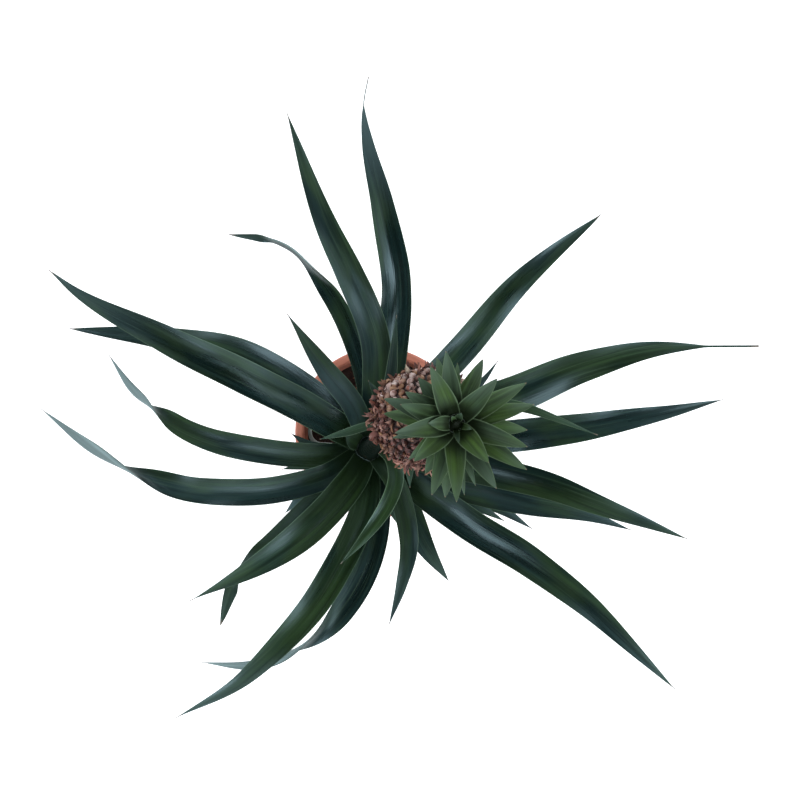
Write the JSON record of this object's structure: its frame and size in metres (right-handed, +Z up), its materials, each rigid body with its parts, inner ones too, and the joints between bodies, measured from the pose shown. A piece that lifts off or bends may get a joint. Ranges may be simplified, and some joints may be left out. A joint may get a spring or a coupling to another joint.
{
  "type": "potted pineapple plant",
  "caption": "Fruiting pineapple plant with long arching leaves and a crowned fruit on a leaning stalk, growing in a round lipped plastic pot.",
  "frame": {"origin": "centre of the pot's flat underside", "axes": "+Z up, along the pot's axis; the fruit leans towards +X; +Y is a quarter turn from it"},
  "size_m": [0.5483, 0.496, 0.4505],
  "materials": {
    "terracotta_plastic": "satin",
    "potting_soil": "matte",
    "stem_tissue": "matte",
    "fruit_rind": "matte",
    "crown_bud": "satin",
    "crown_leaf": "satin",
    "leaf": "satin",
    "stalk_leaf": "satin",
    "dry_leaf": "matte"
  },
  "bodies": {
    "root": {"crown_leaf_01": "crown_leaf", "crown_leaf_02": "crown_leaf", "crown_leaf_03": "crown_leaf", "crown_leaf_04": "crown_leaf", "crown_leaf_05": "crown_leaf", "crown_leaf_06": "crown_leaf", "crown_leaf_07": "crown_leaf", "crown_leaf_08": "crown_leaf", "crown_leaf_09": "crown_leaf", "crown_leaf_10": "crown_leaf", "crown_leaf_11": "crown_leaf", "crown_leaf_12": "crown_leaf", "crown_leaf_13": "crown_leaf", "crown_leaf_14": "crown_leaf", "crown_leaf_15": "crown_leaf", "crown_leaf_16": "crown_leaf", "crown_leaf_17": "crown_leaf", "crown_leaf_18": "crown_leaf", "crown_leaf_19": "crown_leaf", "crown_leaf_20": "crown_leaf", "crown_leaf_21": "crown_leaf", "crown_leaf_22": "crown_leaf", "crown_stem": "crown_bud", "dry_leaf": "dry_leaf", "fruit": "fruit_rind", "pot": "terracotta_plastic", "rosette_leaf_01": "leaf", "rosette_leaf_02": "leaf", "rosette_leaf_03": "leaf", "rosette_leaf_04": "leaf", "rosette_leaf_05": "leaf", "rosette_leaf_06": "leaf", "rosette_leaf_07": "leaf", "rosette_leaf_08": "leaf", "rosette_leaf_09": "leaf", "rosette_leaf_10": "leaf", "rosette_leaf_11": "leaf", "rosette_leaf_12": "leaf", "rosette_leaf_13": "leaf", "rosette_leaf_14": "leaf", "rosette_leaf_15": "leaf", "rosette_leaf_16": "leaf", "rosette_leaf_17": "leaf", "rosette_leaf_18": "leaf", "rosette_leaf_19": "leaf", "rosette_leaf_20": "leaf", "rosette_leaf_21": "leaf", "rosette_leaf_22": "leaf", "rosette_leaf_23": "leaf", "rosette_leaf_24": "leaf", "rosette_leaf_25": "leaf", "soil": "potting_soil", "stalk_leaf_1": "stalk_leaf", "stalk_leaf_2": "stalk_leaf", "stalk_leaf_3": "stalk_leaf", "stalk_leaf_4": "stalk_leaf", "stalk_leaf_5": "stalk_leaf", "stalk_leaf_6": "stalk_leaf", "stalk_leaf_7": "stalk_leaf", "stem": "stem_tissue"}
  },
  "joints": []
}
